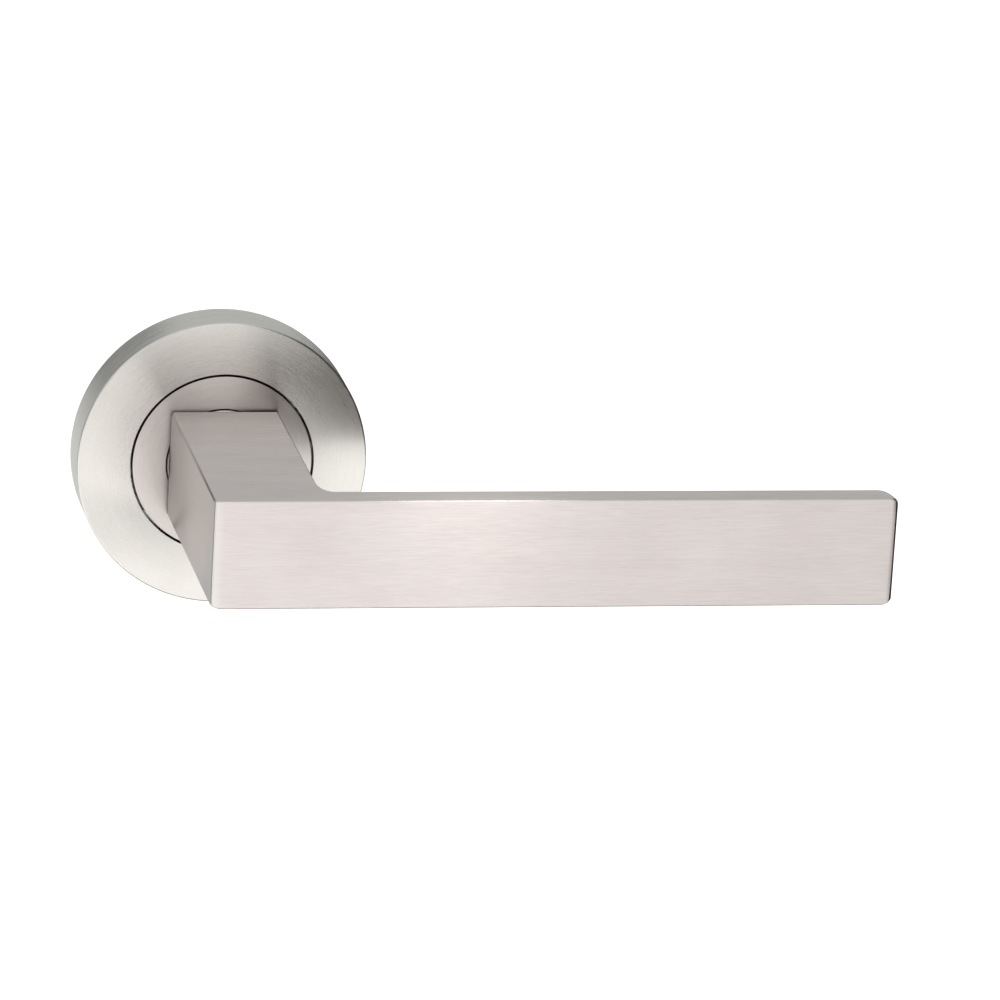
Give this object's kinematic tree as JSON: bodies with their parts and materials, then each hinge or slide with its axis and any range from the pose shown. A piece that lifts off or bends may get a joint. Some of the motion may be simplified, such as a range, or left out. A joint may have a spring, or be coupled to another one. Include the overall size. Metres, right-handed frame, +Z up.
{
  "type": "door lever handle",
  "caption": "Door lever handle with a square neck and a flat bar grip, sprung in a round rose with a flush inner disc, on a square spindle.",
  "frame": {"origin": "on the spindle's axis, in the plane of the door's surface that the rose's back rests on", "axes": "+Z up, +X the way the grip points, +Y into the door, so the room is towards -Y"},
  "size_m": [0.1365, 0.116, 0.052],
  "materials": {
    "lever_steel": "satin brushed along the grip",
    "rose_steel": "satin, turned in circles",
    "disc_steel": "satin, turned in circles",
    "shank_steel": "fine turned",
    "cast_zinc": "raw die-cast zinc, fine grain",
    "plated_steel": "clear zinc plated",
    "black_steel": "black oxide",
    "spring_steel": "oiled drawn wire",
    "nylon": "natural nylon",
    "rubber": "smooth"
  },
  "bodies": {
    "rose": {"rose_cover": "rose_steel", "centre_disc": "disc_steel", "mounting_plate": "cast_zinc", "bearing_bush": "nylon", "thrust_washer": "nylon", "stop_pins": "plated_steel", "return_spring": "spring_steel", "spring_cover": "plated_steel", "spring_cover_screws": "plated_steel", "cover_grip_ring": "rubber", "through_bolt_posts": "plated_steel", "wood_screws": "plated_steel"},
    "lever_set": {"lever": "lever_steel", "shank": "shank_steel", "grub_screw": "black_steel", "spindle": "plated_steel", "spindle_sleeve": "spring_steel", "drive_cam": "plated_steel", "disc_spring_washer": "spring_steel", "circlip": "black_steel"}
  },
  "joints": [
    {"name": "lever_turn", "type": "hinge", "parent": "rose", "child": "lever_set", "pos_m": [0, 0, 0], "axis": [0, 1, 0], "range_deg": [0, 45], "stiffness_Nm_per_rad": 0.23, "springref_deg": -49.85, "deforming": ["return_spring"]}
  ]
}
